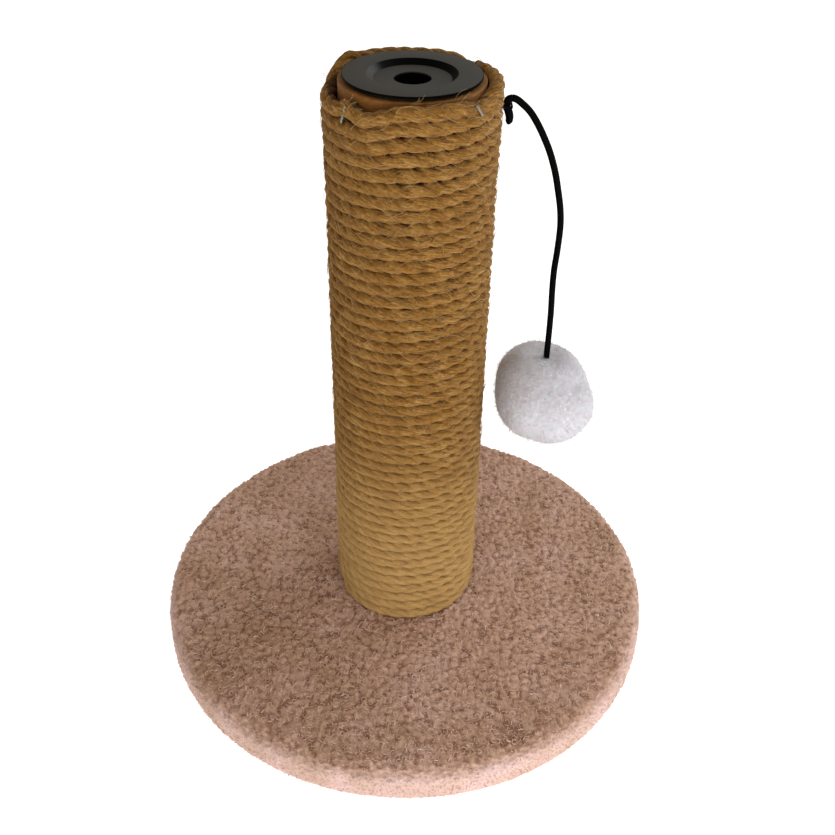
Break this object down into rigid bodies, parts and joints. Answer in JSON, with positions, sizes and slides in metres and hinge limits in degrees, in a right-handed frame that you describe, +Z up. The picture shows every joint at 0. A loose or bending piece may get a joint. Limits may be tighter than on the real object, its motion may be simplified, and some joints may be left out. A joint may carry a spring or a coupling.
{
  "type": "cat scratching post",
  "caption": "Rope-wound cat scratching post on a round plush-covered base, with a pompom that swings on a cord from the top of the post.",
  "frame": {"origin": "centre of the base's underside", "axes": "+Z up along the post, +X towards the side that the cord hangs on, the picture looks along +Y"},
  "size_m": [0.3, 0.3, 0.344],
  "materials": {
    "plush": "curly short-pile plush",
    "board": "raw fibreboard",
    "cardboard": "smooth wound kraft",
    "jute": "hairy three-strand rope",
    "black_plastic": "fine matte moulding",
    "steel": "bright zinc",
    "black_cord": "smooth covered elastic",
    "white_pile": "soft fluffy pile"
  },
  "bodies": {
    "post": {"base_board": "board", "base_cover": "plush", "base_bolt": "steel", "base_washer": "steel", "bottom_plug": "black_plastic", "bottom_plug_nut": "steel", "post_tube": "cardboard", "top_plug": "black_plastic", "rope_winding": "jute", "hem_staple_01": "steel", "hem_staple_02": "steel", "hem_staple_03": "steel", "hem_staple_04": "steel", "hem_staple_05": "steel", "hem_staple_06": "steel", "hem_staple_07": "steel", "hem_staple_08": "steel", "hem_staple_09": "steel", "hem_staple_10": "steel", "hem_staple_11": "steel", "hem_staple_12": "steel", "hem_staple_13": "steel", "hem_staple_14": "steel", "hem_staple_15": "steel", "hem_staple_16": "steel", "rope_top_staple_1": "steel", "rope_top_staple_2": "steel", "rope_top_staple_3": "steel", "rope_top_staple_4": "steel", "rope_bottom_staple": "steel", "cord_staple": "steel", "cord_tail": "black_cord"},
    "cord_root": {"cord_arch": "black_cord"},
    "toy": {"cord_drop": "black_cord", "cord_knot": "black_cord", "pompom": "white_pile"}
  },
  "joints": [
    {"name": "toy_side_swing", "type": "hinge", "parent": "post", "child": "cord_root", "pos_m": [0.04725, 0, 0.3332], "axis": [1, 0, 0], "range_deg": [-50, 50]},
    {"name": "toy_out_swing", "type": "hinge", "parent": "cord_root", "child": "toy", "pos_m": [0.07595, 0, 0.26805], "axis": [0, -1, 0], "range_deg": [-2.5, 60]}
  ]
}
